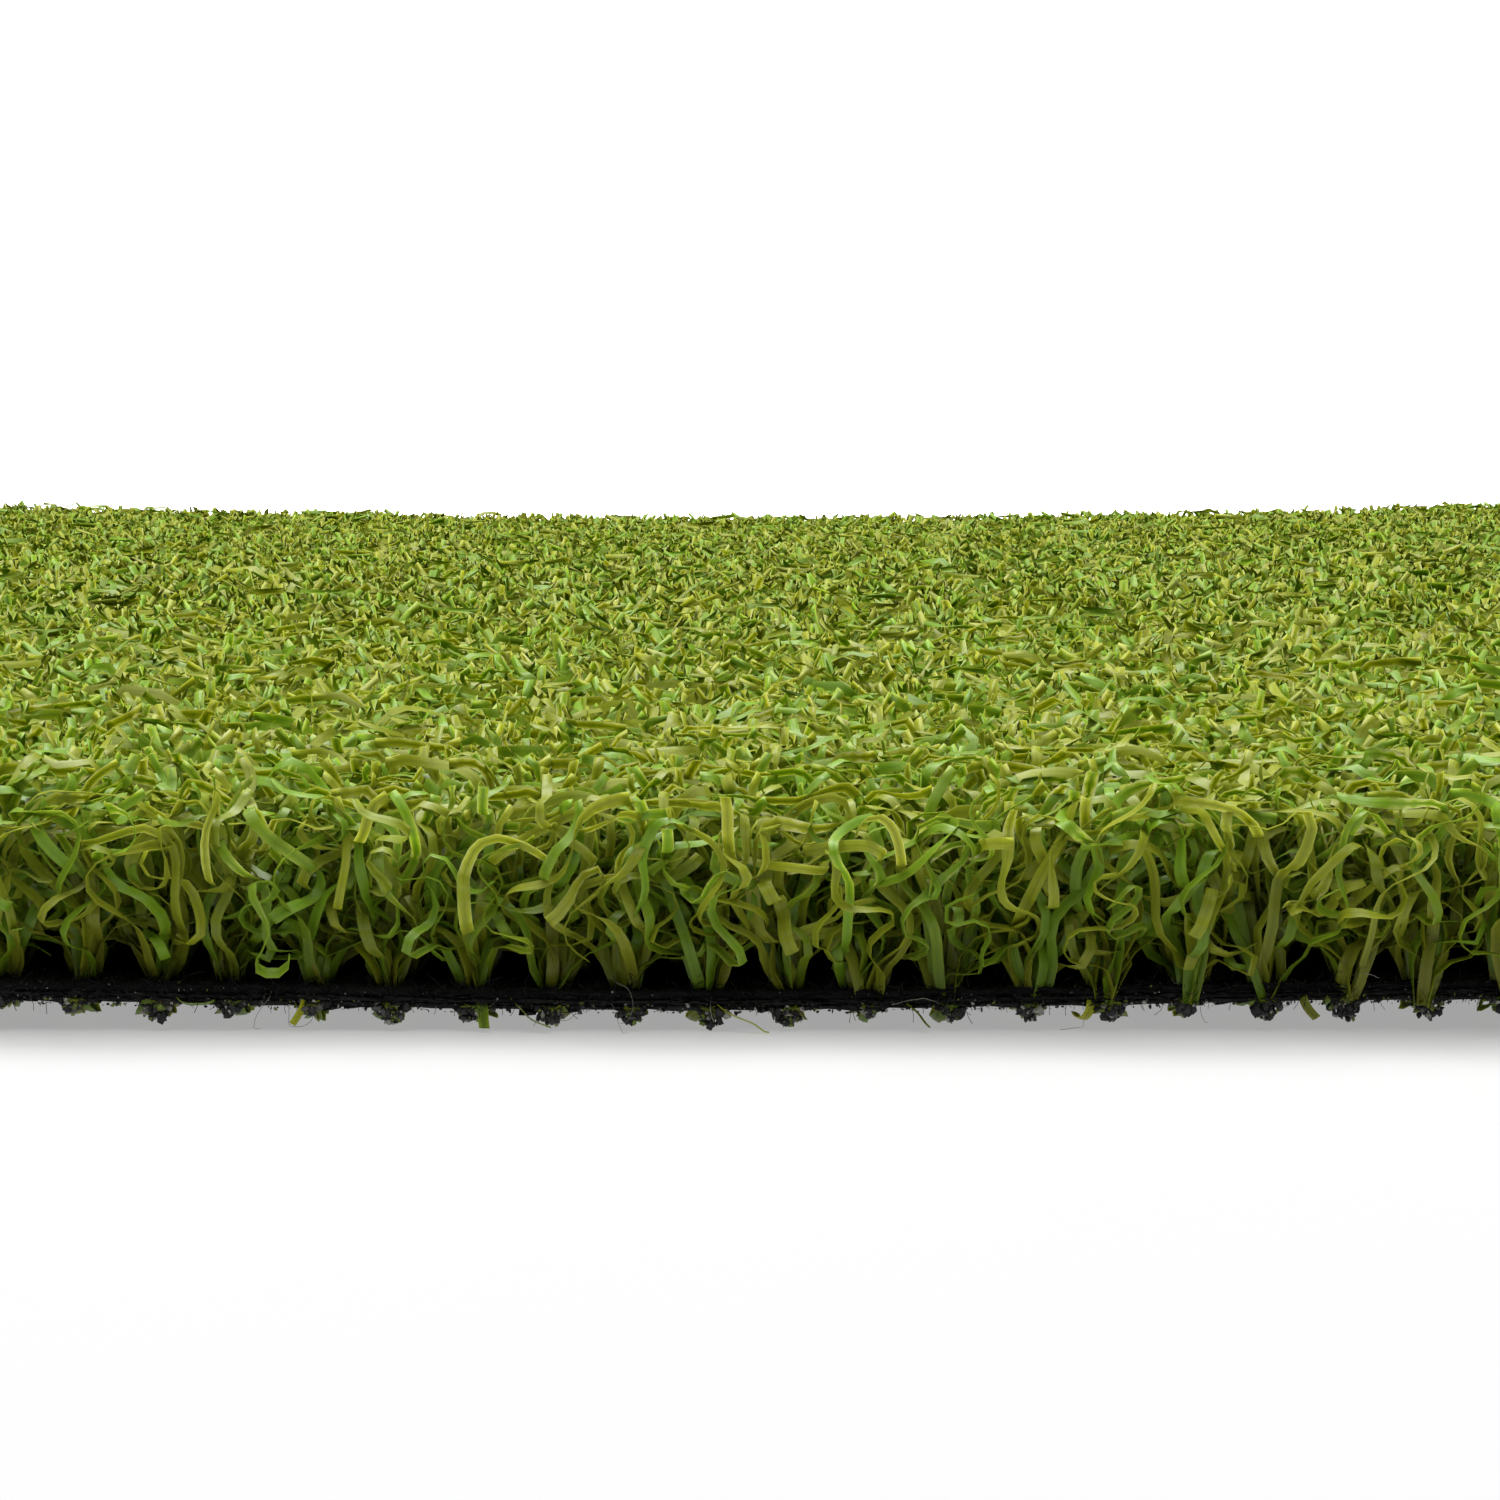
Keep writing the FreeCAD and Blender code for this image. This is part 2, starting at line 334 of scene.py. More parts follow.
def add_tapes(mesh, centre, side, out, widths, thick, classes, section, length):
    """Closed flat tapes along centre lines. centre, side and out are (tape, ring, 3)."""
    tapes, rings = centre.shape[:2]
    shape = SECTIONS[section]
    corners = len(shape)
    across = (shape[:, 0] * widths[:, None] / 2)[:, None, :, None]
    away = (shape[:, 1] * thick)[None, None, :, None]
    points = centre[:, :, None] + side[:, :, None] * across + out[:, :, None] * away
    index = np.arange(tapes * rings * corners).reshape(tapes, rings, corners)
    here, ahead = index[:, :-1], index[:, 1:]
    quads = np.stack([here, np.roll(here, -1, 2), np.roll(ahead, -1, 2), ahead], axis=-1).reshape(-1, 4)
    near_end, far_end = index[:, 0, ::-1], index[:, -1]
    ends = np.concatenate([near_end, far_end])
    lines = np.full(index.shape, -1, np.int64)
    for number, corner in enumerate(SHARP_CORNERS[section]):
        lines[:, :, corner] = (2 * index[:, 0, 0] + number)[:, None]
    along = np.linspace(0, 1, rings) * np.broadcast_to(length, (tapes,))[:, None] / RIBBON_LENGTH
    uv = np.empty((tapes, rings, corners, 2))
    uv[..., 0] = along[:, :, None]
    uv[..., 1] = (classes[:, None, None] + shape[:, 2]) / COLOURS
    if corners == 4:
        mesh.add(points.reshape(-1, 3), np.concatenate([quads, ends]), None, uv.reshape(-1, 2), lines.ravel())
    else:
        mesh.add(points.reshape(-1, 3), quads, ends, uv.reshape(-1, 2), lines.ravel())


# === the ribbon library ====================================================================================
TRIES = 16000
GROW_STEP = 0.25
CURL_LENGTH = (5.5, 11.0)
LEAST_SWING = 1.0
MORE_SWING = 2.2
SWING_POWER = 1.3
SET_BEND = 0.12
KINKS = 2
KINK_PLACE = (3.5, 22.0)
KINK_LENGTH = 0.35
KINK_BEND = 1.0
# the curl fades in as the ribbon leaves its straight foot, and the swinging twist as it leaves TWIST_START
STRAIGHT_FOOT = (0.3, 2.6)
TWIST = 0.16
TWIST_SWING = (0.0, 0.35)
TWIST_LENGTH = (8.0, 16.0)
TWIST_START = (1.0, 5.0)
LEAN = (0.03, 0.62)
SIDE_LEAN = 0.08
# while growing: the pull upward fades at FULL_LEVEL, and above CRUSH_LEVEL use has bent the tips over. Levels
# are parts of the pile's height
UPWARD = 0.14
FULL_LEVEL = 0.8
CRUSH = (0.2, 3.4)
CRUSH_LEVEL = 0.68
# neighbours push a ribbon back when it strays from its own tuft
GATHER = 0.03
FREE_REACH = 2.6
GATHER_MOST = 3
# shearing, in parts of the pile's height, and what makes a ribbon fit to keep; SHEAR is a mean and a spread
SHEAR = (0.995, 0.035)
OWN_END = (0.60, 0.98)
SHORT_SHARE = 0.2
SHORT_HEIGHT = 0.5
TALL_HEIGHT = 0.84
STRAIGHTNESS = (0.55, 0.86)
MOST_SPREAD = 5.8
LEAST_HEIGHT = -0.1
TIP_CROWDING = 0.85


def unit(vectors):
    return vectors / np.linalg.norm(vectors, axis=-1, keepdims=True)


def rise(value, low, high):
    part = np.clip((value - low) / (high - low), 0, 1)
    return part * part * (3 - 2 * part)


def square_to(vectors, heading):
    """The vectors made square to the headings, and of length one."""
    return unit(vectors - heading * (vectors * heading).sum(-1, keepdims=True))


class Library:
    """Curled ribbons that start at the origin and lean towards +X, with their frames and cut lengths."""

    def __init__(self):
        steps = int(RIBBON_LENGTH / GROW_STEP)
        bend, twist = self.curls(np.arange(steps) * GROW_STEP)
        lean = self.each(*LEAN)[:, 0]
        heading = unit(np.stack([np.sin(lean), random.normal(0, SIDE_LEAN, TRIES), np.cos(lean)], axis=-1))
        spin = random.uniform(0, 2 * np.pi, TRIES)
        out = square_to(np.stack([np.cos(spin), np.sin(spin), np.zeros(TRIES)], axis=-1), heading)
        place = np.zeros((TRIES, 3))
        crush = self.each(*CRUSH)
        places, sides, outs = [], [], []
        for step in range(steps):
            side = np.cross(out, heading)
            places.append(place)
            sides.append(side)
            outs.append(out)
            bent = heading + GROW_STEP * self.pushed(bend[:, step, None] * out, place, heading, crush)
            turned_out = out + GROW_STEP * (twist[:, step, None] * side - bend[:, step, None] * heading)
            heading = unit(bent)
            out = square_to(turned_out, heading)
            place = place + GROW_STEP * heading
        self.places = np.stack(places, axis=1)
        self.sides = np.stack(sides, axis=1)
        self.outs = np.stack(outs, axis=1)
        self.cut(steps)
        self.samples = {}

    @staticmethod
    def each(low, high):
        return random.uniform(low, high, (TRIES, 1))

    def curls(self, along):
        """How fast each ribbon bends about its flat side, and how fast it twists, at places along it."""
        length = self.each(*CURL_LENGTH)
        wave = 2 * np.pi * along / length + self.each(0, 2 * np.pi)
        swing = LEAST_SWING + MORE_SWING * self.each(0.0, 1.0) ** SWING_POWER
        bend = swing * np.pi / length * np.sin(wave) + random.normal(0, SET_BEND, (TRIES, 1))
        for _ in range(KINKS):
            fold = np.exp(-(((along - self.each(*KINK_PLACE)) / KINK_LENGTH) ** 2))
            bend = bend + random.normal(0, KINK_BEND, (TRIES, 1)) * fold
        bend = bend * rise(along, *STRAIGHT_FOOT)
        turn = 2 * np.pi * along / self.each(*TWIST_LENGTH) + self.each(0, 2 * np.pi)
        twist = random.normal(0, TWIST, (TRIES, 1))
        twist = twist + self.each(*TWIST_SWING) * np.sin(turn) * rise(along, *TWIST_START)
        return bend, twist

    @staticmethod
    def pushed(curl, place, heading, crush):
        """The ribbon's own curl, with the pull upward, the crush of the tips and the neighbours' push."""
        up = np.array([0.0, 0.0, 1.0])
        level = place[:, 2:] / PILE
        crushed = crush * np.clip(level - CRUSH_LEVEL, 0, 1) * (heading[:, 2:] > 0)
        lift = UPWARD * (1 - level / FULL_LEVEL) - crushed
        away = place * np.array([1.0, 1.0, 0.0])
        strayed = np.clip(np.linalg.norm(away, axis=1, keepdims=True) - FREE_REACH, 0, GATHER_MOST)
        return curl + lift * up - GATHER * away * strayed

    def cut(self, steps):
        """Shear each ribbon at the pile's height, and keep those that make a good pile."""
        mean, spread = SHEAR
        over = self.places[:, :, 2] > random.normal(mean, spread, (TRIES, 1)) * PILE
        own_end = random.uniform(*OWN_END, TRIES) * steps
        self.ends = np.where(over.any(1), over.argmax(1), own_end).astype(int)
        keep = np.arange(steps) <= self.ends[:, None]
        height = np.where(keep, self.places[:, :, 2], 0).max(1)
        lowest = np.where(keep, self.places[:, :, 2], 0).min(1)
        reach = np.where(keep, np.hypot(self.places[:, :, 0], self.places[:, :, 1]), 0).max(1)
        may_be_short = random.uniform(0, 1, TRIES) < SHORT_SHARE
        tall = height > np.where(may_be_short, SHORT_HEIGHT, TALL_HEIGHT) * PILE
        curled = height / (self.ends * GROW_STEP) < random.uniform(*STRAIGHTNESS, TRIES)
        good = tall & curled & (reach < MOST_SPREAD) & (lowest > LEAST_HEIGHT)
        self.places, self.sides, self.outs = self.places[good], self.sides[good], self.outs[good]
        self.ends = self.ends[good]

    def sample(self, rings):
        """The library with every ribbon given the same number of rings over its own length."""
        if rings not in self.samples:
            part = np.linspace(0, 1, rings) ** TIP_CROWDING
            steps = np.rint(self.ends[:, None] * part).astype(int)
            ribbon = np.arange(len(self.ends))[:, None]
            self.samples[rings] = [whole[ribbon, steps] for whole in (self.places, self.sides, self.outs)]
        return self.samples[rings]


# === the pile ==============================================================================================
Detail = namedtuple("Detail", "ribbons rings section width_factor")
DETAIL = {
    "front": Detail(19, 22, "lens", 1.0),
    "near": Detail(15, 13, "roof", 1.05),
    "middle": Detail(13, 9, "roof", 1.12),
    "rim": Detail(13, 10, "roof", 1.1),
    "inside": Detail(10, 5, "roof", 1.38),
}
EDGE_STITCH = Detail(9, 7, "lens", 1.0)
HIDDEN_STITCH = Detail(1, 4, "roof", 2.0)

# how deep each zone reaches behind the front edge, and how its border blends into the next zone
ZONE_DEPTHS = (("middle", 190.0), ("near", 72.0), ("front", 22.0))
RIM_DEPTH = 6.0
SIDE_SPARE = 8.0
SIDE_BLEND = 6.0
DEPTH_BLEND = 0.12

# a tuft: its half size across and along the row, and how its ribbons vary
TUFT_HALF = (0.62, 0.95)
FAN_SPREAD = 0.7
STRETCH_SPREAD = 0.03
TALLEST = 1.045
HIGHEST_BEND = 1.1
TUFT_LEAN = 0.7
WIDTH_SPREAD = 0.12
ROOTED = 0.15
DROP_FADE = 2.5
# how the pile spills over the mat's edges, and is lower and more bent over at the front one
SPILL = 1.1
FRONT_SPILL = 1.5
SHOULDER = 0.10
SHOULDER_REACH = 5.0

# where the stitches sit: the cut goes slowly from one part of the stitch to another as it crosses the mat
CUT_PLACE = 0.36
CUT_DRIFT = 0.28
CUT_DRIFT_LENGTH = 110.0
CUT_JITTER = 0.06
# how far tufts stray, across and along the row
TUFT_JITTER = (0.24, 0.22)
EXPOSED_DEPTH = 0.3
EXPOSED_HANG = (-0.3, 0.2)

# back-stitches
BUNDLE_SPREAD = 0.42
BUNDLE_PINCH = 0.35
BUNDLE_DEPTH = (0.45, 1.0)
BUNDLE_FLOOR = 0.12
BUNDLE_ROOT = 0.15
BUNDLE_JITTER = 0.05
BUNDLE_ROLL = 0.6
SAG_POWER = 0.7
STITCH_OVERLAP = 1.06
STITCH_WIDTH_SPREAD = 0.1


def zone_of(x, y):
    """Which detail a tuft needs: by its depth behind the front edge and whether the camera sees it."""
    depth = y - FRONT
    edge = np.minimum(np.minimum(x - MAT_LOW[0], MAT_HIGH[0] - x), np.minimum(depth, MAT_HIGH[1] - y))
    zone = np.where(edge < RIM_DEPTH, "rim", "inside")
    blend = random.normal(0, 1, (2, len(x)))
    side_spare = SIDE_SPARE + SIDE_BLEND * np.maximum(blend[0], 0)
    seen = np.abs(x) < VIEW_SLOPE * (CAMERA_DISTANCE + depth) + side_spare
    for name, limit in ZONE_DEPTHS:
        zone = np.where(seen & (depth < limit * (1 + DEPTH_BLEND * blend[1])), name, zone)
    return zone


def turned(vectors, angle, mirror):
    """Turn vectors about Z, after mirroring Y where mirror is -1."""
    cosine, sine = np.cos(angle)[:, None], np.sin(angle)[:, None]
    x, y = vectors[..., 0], vectors[..., 1] * mirror[:, None]
    return np.stack([cosine * x - sine * y, sine * x + cosine * y, vectors[..., 2]], axis=-1)


def tuft_lean(x, y, shoulder):
    """How far each tuft's tips lean aside: at random, and outward at the mat's edges."""
    lean = random.normal(0, TUFT_LEAN, (len(x), 2))
    lean[:, 0] += SPILL * np.sign(x) * (np.abs(x) > MAT_HIGH[0] - GAUGE)
    lean[:, 1] += SPILL * np.sign(y) * (np.abs(y) > MAT_HIGH[1] - GAUGE)
    lean[:, 1] -= FRONT_SPILL * shoulder
    return lean


def add_pile(mesh, library, x, y, drop, detail):
    """Tufts of one kind of detail at x, y. drop is how far a tuft's foot hangs below the fleece."""
    tufts = len(x)
    total = tufts * detail.ribbons
    tuft = np.repeat(np.arange(tufts), detail.ribbons)
    places, sides, outs = library.sample(detail.rings)
    pick = random.integers(0, len(places), total)
    around = random.uniform(0, 2 * np.pi, total)
    reach = np.sqrt(random.uniform(0, 1, total))
    root_x, root_y = TUFT_HALF[0] * reach * np.cos(around), TUFT_HALF[1] * reach * np.sin(around)
    angle = around + random.normal(0, FAN_SPREAD, total)
    mirror = random.choice((-1.0, 1.0), total)
    line = turned(places[pick], angle, mirror)
    stretch = random.normal(1.0, STRETCH_SPREAD, total)[:, None]
    shoulder = np.exp(-(y - FRONT) / SHOULDER_REACH)
    lean = tuft_lean(x, y, shoulder)[tuft]
    stretch *= 1 - SHOULDER * shoulder[tuft][:, None] * random.uniform(0, 2, total)[:, None]
    level = np.clip(line[..., 2] / PILE, 0, HIGHEST_BEND)
    line[..., 2] *= np.minimum(stretch, TALLEST * PILE / line[..., 2].max(1, keepdims=True))
    line[..., :2] += lean[:, None] * (level * level)[..., None]
    line[..., 2] -= drop[tuft][:, None] * np.clip(1 - DROP_FADE * level, 0, 1)
    line[..., 0] += root_x[:, None]
    line[..., 1] += root_y[:, None]
    line[..., 0] += x[tuft][:, None]
    line[..., 1] += y[tuft][:, None]
    line[..., 2] += PILE_FOOT - ROOTED
    # the mirrored frame keeps its faces outward by turning the side as well
    side = turned(sides[pick], angle, mirror) * mirror[:, None, None]
    out = turned(outs[pick], angle, mirror)
    widths = RIBBON_WIDTH * detail.width_factor * random.normal(1.0, WIDTH_SPREAD, total)
    is_olive = random.integers(0, 2, total)
    olives = GREENS + random.integers(0, OLIVES, total)
    classes = np.where(is_olive, olives, random.integers(0, GREENS, total))
    length = library.ends[pick] * GROW_STEP
    add_tapes(mesh, line, side, out, widths, RIBBON_THICK, classes, detail.section, length)


def add_back_stitches(mesh, x, y, detail):
    """Bundles of tape under the backing, each from one needle hole to the next, at x and middle y."""
    total = len(x) * detail.ribbons
    stitch = np.repeat(np.arange(len(x)), detail.ribbons)
    part = np.linspace(0, 1, detail.rings)
    sag = np.sin(np.pi * part)
    offset = random.normal(0, BUNDLE_SPREAD, total)[:, None]
    depth = random.uniform(*BUNDLE_DEPTH, total)[:, None] * (LATEX_LOW - BUNDLE_FLOOR)
    place = np.empty((total, detail.rings, 3))
    place[..., 0] = x[stitch][:, None] + offset * (BUNDLE_PINCH + (1 - BUNDLE_PINCH) * sag)
    place[..., 0] += random.normal(0, BUNDLE_JITTER, (total, detail.rings))
    place[..., 1] = y[stitch][:, None] + PITCH * STITCH_OVERLAP * (part - 0.5)
    place[..., 2] = np.maximum(LATEX_LOW + BUNDLE_ROOT - depth * sag**SAG_POWER, RIBBON_THICK)
    along = unit(np.gradient(place, axis=1))
    roll = random.normal(0, BUNDLE_ROLL, total)
    flat = np.stack([np.cos(roll), np.zeros(total), np.sin(roll)], axis=-1)[:, None]
    side = square_to(flat, along)
    out = np.cross(along, side)
    widths = RIBBON_WIDTH * detail.width_factor * random.normal(1.0, STITCH_WIDTH_SPREAD, total)
    classes = random.integers(0, LIT_CLASS, total)
    add_tapes(mesh, place, side, out, widths, RIBBON_THICK, classes, detail.section, PITCH)


def row_piece(node, library, material):
    """Both turf rows of one node, with their pile and their back-stitches."""
    mesh = Mesh()
    low, high = box_mm(node)
    middle = (low[0] + high[0]) / 2
    for row in range(ROWS_PER_NODE):
        row_x = middle + GAUGE * (row - (ROWS_PER_NODE - 1) / 2)
        cut = CUT_PLACE - CUT_DRIFT * math.sin(math.pi * row_x / CUT_DRIFT_LENGTH)
        cut += random.uniform(-CUT_JITTER, CUT_JITTER)
        y = FRONT + PITCH * (np.arange(STITCHES) + cut)
        y[1:] += random.normal(0, TUFT_JITTER[1], STITCHES - 1)
        x = row_x + random.normal(0, TUFT_JITTER[0], STITCHES)
        hang = PILE_FOOT - LATEX_LOW + random.uniform(*EXPOSED_HANG)
        drop = np.where(y < FRONT + EXPOSED_DEPTH * PITCH, hang, 0.0)
        zones = zone_of(x, y)
        for zone, detail in DETAIL.items():
            chosen = zones == zone
            if chosen.any():
                add_pile(mesh, library, x[chosen], y[chosen], drop[chosen], detail)
        under = FRONT + PITCH * (np.arange(STITCHES) + 0.5)
        at_row = np.full(STITCHES, row_x)
        edge = (under - FRONT < 2 * PITCH) | (MAT_HIGH[1] - under < 2 * PITCH)
        add_back_stitches(mesh, at_row[edge], under[edge], EDGE_STITCH)
        add_back_stitches(mesh, at_row[~edge], under[~edge], HIDDEN_STITCH)
    piece = mesh.build(node + "_yarn", material)
    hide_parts(node)


# === the backing layers ====================================================================================
EDGE_STEP = 0.4
EDGE_INSET = 3.0
EDGE_LEVELS = (0.98, 0.72, 0.45, 0.2, 0.02)
EDGE_BULGE = 0.10
BULGE_FALL = 0.22
LEVEL_JITTER = 0.05
TORN_EVERY = 4
KNIFE_EVERY = 60
KNIFE_STRAY = 0.16
FLEECE_ROUGH = 0.10
WOVEN_ROUGH = 0.05

# the woven tapes whose ends show in the cut
TAPE_PITCH = 1.3
TAPE_COVER = 0.86
TAPE_THICK = 0.07
TAPE_WIDTH_SPREAD = 0.08
TAPE_LEVELS = (0.25, 0.7)
TAPE_LENGTH = 1.5
TAPE_INSIDE = 1.2
# mean and spread
TAPE_OUT = (0.05, 0.12)
TAPE_LEVEL_SPREAD = 0.03
TAPE_TILT = 0.12
TAPE_DROOP = 0.05
TAPE_RINGS = 4

# the fleece's fibres
FIBRE_RINGS = 4
FIBRE_THICK = 0.035
FIBRE_CURL = 1.4
FIBRE_SLANT = 0.8
FIBRE_LIFT = 0.15
FIBRE_SETTLE = 0.1
STRAND_LOWEST = 0.06
Fibres = namedtuple("Fibres", "count inset low high length width")
RIM_FIBRES = Fibres(2400, (-0.05, 0.5), FLEECE_LOW, PILE_FOOT + 0.05, (0.4, 1.6), (0.03, 0.05))
FRONT_FIBRES = Fibres(2400, (-0.1, 1.2), WOVEN_LOW, PILE_FOOT + 0.1, (0.3, 1.5), (0.025, 0.045))
FLOOR_FIBRES = Fibres(1500, (0.5, 22.0), PILE_FOOT, PILE_FOOT + 0.1, (0.6, 2.2), (0.03, 0.05))


def outline(step):
    """Points round the mat's outline at even steps, and the outward normal at each."""
    half = np.array([MAT_WIDTH / 2, MAT_LENGTH / 2])
    points, normals = [], []
    sides = (((-1, -1), (1, 0)), ((1, -1), (0, 1)), ((1, 1), (-1, 0)), ((-1, 1), (0, -1)))
    for corner, heading in sides:
        heading = np.array(heading, float)
        length = 2 * abs(half @ heading)
        part = np.arange(0, length, step)
        points.append(half * corner + part[:, None] * heading)
        normals.append(np.tile((heading[1], -heading[0]), (len(part), 1)))
    return np.concatenate(points), np.concatenate(normals)


def smooth_noise(count, every, size):
    """Closed random wander: one value for each outline point, with a bump about every few points."""
    knots = random.normal(0, size, max(4, count // every))
    knots = np.append(knots, knots[0])
    return np.interp(np.linspace(0, len(knots) - 1, count, endpoint=False), np.arange(len(knots)), knots)


class KnifeLine:
    """The line of the cut round the mat, and how far the knife strayed from it: the same for all layers."""

    def __init__(self):
        self.points, self.normals = outline(EDGE_STEP)
        self.stray = smooth_noise(len(self.points), KNIFE_EVERY, KNIFE_STRAY)

    def stray_at(self, places):
        nearest = [np.argmin(((self.points - place) ** 2).sum(1)) for place in places]
        return self.stray[nearest]


def slab(mesh, low, high, rough, knife):
    """A thin closed slab whose cut edge is torn and fibrous, all round the mat."""
    points, normals = knife.points, knife.normals
    count = len(points)
    middle = np.array([MAT_WIDTH, MAT_LENGTH]) / 2 - EDGE_INSET
    inner = np.clip(points - normals * EDGE_INSET, -middle, middle)
    thick = high - low
    rings = [np.column_stack([inner, np.full(count, high)])]
    for height in EDGE_LEVELS:
        bulge = EDGE_BULGE - BULGE_FALL * abs(height - 0.5)
        out = knife.stray + bulge + random.normal(0, rough, count) + smooth_noise(count, TORN_EVERY, rough)
        edge = points + normals * out[:, None]
        level = low + thick * height + random.normal(0, LEVEL_JITTER * thick, count)
        rings.append(np.column_stack([edge, level]))
    rings.append(np.column_stack([inner, np.full(count, low)]))
    layers = len(rings)
    index = np.arange(layers * count).reshape(layers, count)
    ahead = np.roll(index, -1, axis=1)
    quads = np.stack([index[:-1], index[1:], ahead[1:], ahead[:-1]], axis=-1).reshape(-1, 4)
    top, bottom = layers * count, layers * count + 1
    caps = np.concatenate([
        np.column_stack([index[0], ahead[0], np.full(count, top)]),
        np.column_stack([ahead[-1], index[-1], np.full(count, bottom)]),
    ])
    middles = np.array([[0, 0, high], [0, 0, low]])
    whole = np.concatenate(rings + [middles])
    mesh.add(whole, quads, caps, plan_uv(whole))


def plan_uv(points):
    """The mat seen from above, with a margin of 1 mm, stretched over the whole UV square."""
    return (points[:, :2] - MAT_LOW[:2] + 1.0) / (np.array([MAT_WIDTH, MAT_LENGTH]) + 2.0)


def curly_lines(start, heading, length, rings, curl, settle):
    """Centre lines and frames of loose strands that wander as they go. settle pulls them down."""
    count = len(start)
    step = np.broadcast_to(length, (count,))[:, None] / (rings - 1)
    place, heading = start.astype(float), unit(heading.astype(float))
    spin = random.normal(0, 1, (count, 3))
    out = unit(np.cross(heading, spin))
    bend = random.normal(0, curl, (count, 1))
    places, sides, outs = [], [], []
    for _ in range(rings):
        side = np.cross(out, heading)
        places.append(place)
        sides.append(side)
        outs.append(out)
        # each step keeps most of the last step's bend, so a strand curls instead of zigzagging
        bend = 0.8 * bend + 0.6 * random.normal(0, curl, (count, 1))
        heading = heading + step * (bend * out + 0.4 * random.normal(0, curl, (count, 1)) * side)
        heading = unit(heading - step * settle * np.array([0.0, 0.0, 1.0]))
        out = square_to(out, heading)
        place = place + step * heading
        place[:, 2] = np.maximum(place[:, 2], STRAND_LOWEST)
    return np.stack(places, axis=1), np.stack(sides, axis=1), np.stack(outs, axis=1)


def along_edges(count, inset):
    """Random places along all four cut edges, with the outward direction of each."""
    points, normals = outline(EDGE_STEP)
    pick = random.integers(0, len(points), count)
    slide = np.column_stack([-normals[pick, 1], normals[pick, 0]]) * random.uniform(0, EDGE_STEP, (count, 1))
    place = points[pick] + slide - normals[pick] * random.uniform(*inset, count)[:, None]
    return place, normals[pick]


def in_view(count, depth):
    """Random places near the front edge, as wide as the camera sees."""
    half = VIEW_HALF + SIDE_SPARE
    place = np.column_stack([random.uniform(-half, half, count), FRONT + random.uniform(*depth, count)])
    return place, np.tile((0.0, -1.0), (count, 1))


def add_fibres(mesh, place, normal, fibres):
    """Fine fibres that stand out of the cut, or that lie anywhere where the normal is zero."""
    count = len(place)
    start = np.column_stack([place, random.uniform(fibres.low, fibres.high, count)])
    slant = random.normal(0, FIBRE_SLANT, (count, 3))
    heading = np.column_stack([normal, np.full(count, FIBRE_LIFT)]) + slant
    long = random.uniform(*fibres.length, count)
    line, side, out = curly_lines(start, heading, long, FIBRE_RINGS, FIBRE_CURL, FIBRE_SETTLE)
    width = random.uniform(*fibres.width, count)
    add_tapes(mesh, line, side, out, width, FIBRE_THICK, np.zeros(count, int), "roof", long)


def fleece_piece(material, fibre_material, knife):
    mesh = Mesh()
    slab(mesh, FLEECE_LOW, PILE_FOOT, FLEECE_ROUGH, knife)
    cloth = mesh.build("fleece_layer_cloth", material)
    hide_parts("fleece_layer")
    fuzz = Mesh()
    place, normal = along_edges(RIM_FIBRES.count, RIM_FIBRES.inset)
    add_fibres(fuzz, place, normal, RIM_FIBRES)
    place, normal = in_view(FRONT_FIBRES.count, FRONT_FIBRES.inset)
    add_fibres(fuzz, place, normal, FRONT_FIBRES)
    place, normal = in_view(FLOOR_FIBRES.count, FLOOR_FIBRES.inset)
    add_fibres(fuzz, place, normal * 0, FLOOR_FIBRES)
    fuzz.build("fleece_fuzz", fibre_material)


def woven_piece(material, knife):
    """The woven backing, with the ends of its cut tapes along every edge."""
    mesh = Mesh()
    slab(mesh, WOVEN_LOW, FLEECE_LOW, WOVEN_ROUGH, knife)
    points, normals = outline(TAPE_PITCH)
    count = len(points)
    for level in TAPE_LEVELS:
        out_by = knife.stray_at(points) - TAPE_INSIDE + random.normal(*TAPE_OUT, count)
        start = points + normals * out_by[:, None]
        height = WOVEN_LOW + level * (FLEECE_LOW - WOVEN_LOW) + random.normal(0, TAPE_LEVEL_SPREAD, count)
        start = np.column_stack([start, height])
        across = np.column_stack([-normals[:, 1], normals[:, 0], random.normal(0, TAPE_TILT, count)])
        outward = np.column_stack([normals, random.normal(-TAPE_DROOP, TAPE_TILT, count)])
        along = np.linspace(0, TAPE_LENGTH, TAPE_RINGS)[None, :, None]
        line = start[:, None] + outward[:, None] * along
        side = np.repeat(unit(across)[:, None], TAPE_RINGS, axis=1)
        out = np.cross(unit(outward)[:, None], side)
        width = random.normal(TAPE_PITCH * TAPE_COVER, TAPE_WIDTH_SPREAD, count)
        add_tapes(mesh, line, side, out, width, TAPE_THICK, np.zeros(count, int), "lens", TAPE_LENGTH)
    cloth = mesh.build("primary_backing_cloth", material)
    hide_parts("primary_backing")


# === the latex =============================================================================================
# where the skin has its lines of points across one row, in gauges from the row's middle
SKIN_ACROSS = (-0.5, -0.235, -0.14, 0.14, 0.235)
RIDGE_HALF = 1.12
RIDGE_DEPTH = 0.8
RIDGE_SWELL = (0.5, 1.0)
# the ridges fade out at the cut: the first two and the last two lines of points along a row
RIDGE_ENDS = (0.25, 0.6, 0.6, 0.25)
SKIN_ROUGH = 0.09
LEVEL_ROUGH = 0.3
SKIN_LOWEST = 0.05
SKIN_INSET = 0.2
# how far the rim strays, across and along the mat
RIM_STRAY = (0.10, 0.14)


